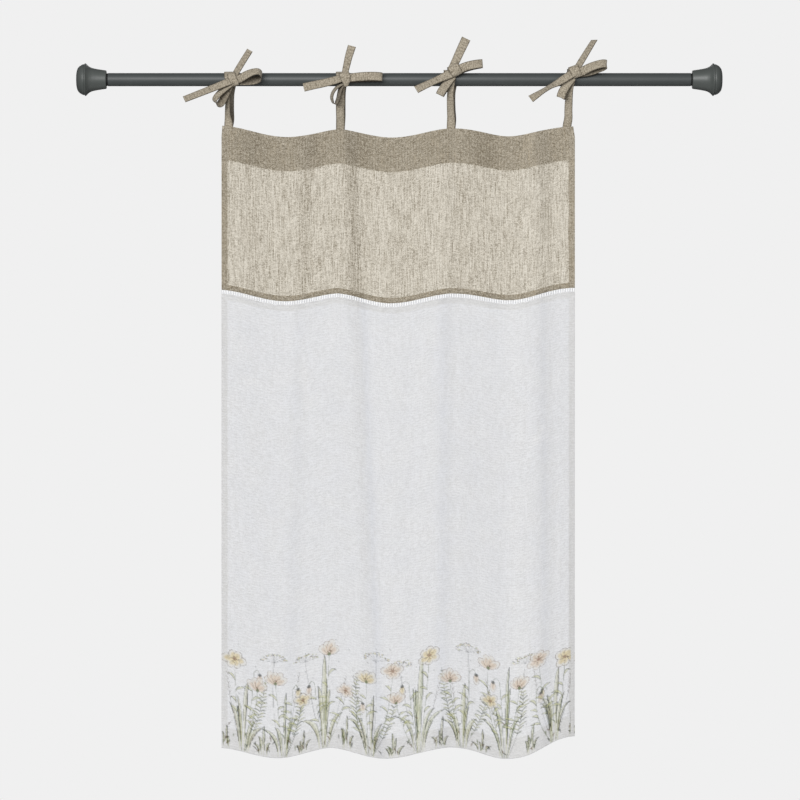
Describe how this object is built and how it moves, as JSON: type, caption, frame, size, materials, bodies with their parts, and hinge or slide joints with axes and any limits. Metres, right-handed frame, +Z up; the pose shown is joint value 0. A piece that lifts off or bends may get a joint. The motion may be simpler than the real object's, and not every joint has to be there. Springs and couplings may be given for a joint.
{
  "type": "cafe curtain on tension rod",
  "caption": "Sheer linen and white cafe curtain tied with bows to a dark tension rod with bell-shaped end caps, openwork trim at the seam and a flowered lower border.",
  "frame": {"origin": "middle of the flat face of the left end pad, on the rod's axis", "axes": "+X along the rod from the left pad to the right pad, +Z up, -Y towards the room side that the bows face"},
  "size_m": [1.08, 0.0739, 1.2092],
  "materials": {
    "rod_paint": "satin dark grey",
    "cap_plastic": "satin dark grey",
    "plug_plastic": "matt black",
    "linen_sheer": "open slubby weave, natural flax colour",
    "trim_white": "white openwork",
    "white_sheer": "fine open weave, white, with a printed border",
    "tie_linen": "folded and edge-sewn tape, natural flax colour"
  },
  "bodies": {
    "root": {"rod_tube": "rod_paint", "end_cap_left": "cap_plastic", "end_cap_right": "cap_plastic", "end_plug_left": "plug_plastic", "end_plug_right": "plug_plastic", "linen_panel": "linen_sheer", "ladder_trim": "trim_white", "white_panel": "white_sheer", "tie_1": "tie_linen", "tie_2": "tie_linen", "tie_3": "tie_linen", "tie_4": "tie_linen"}
  },
  "joints": []
}
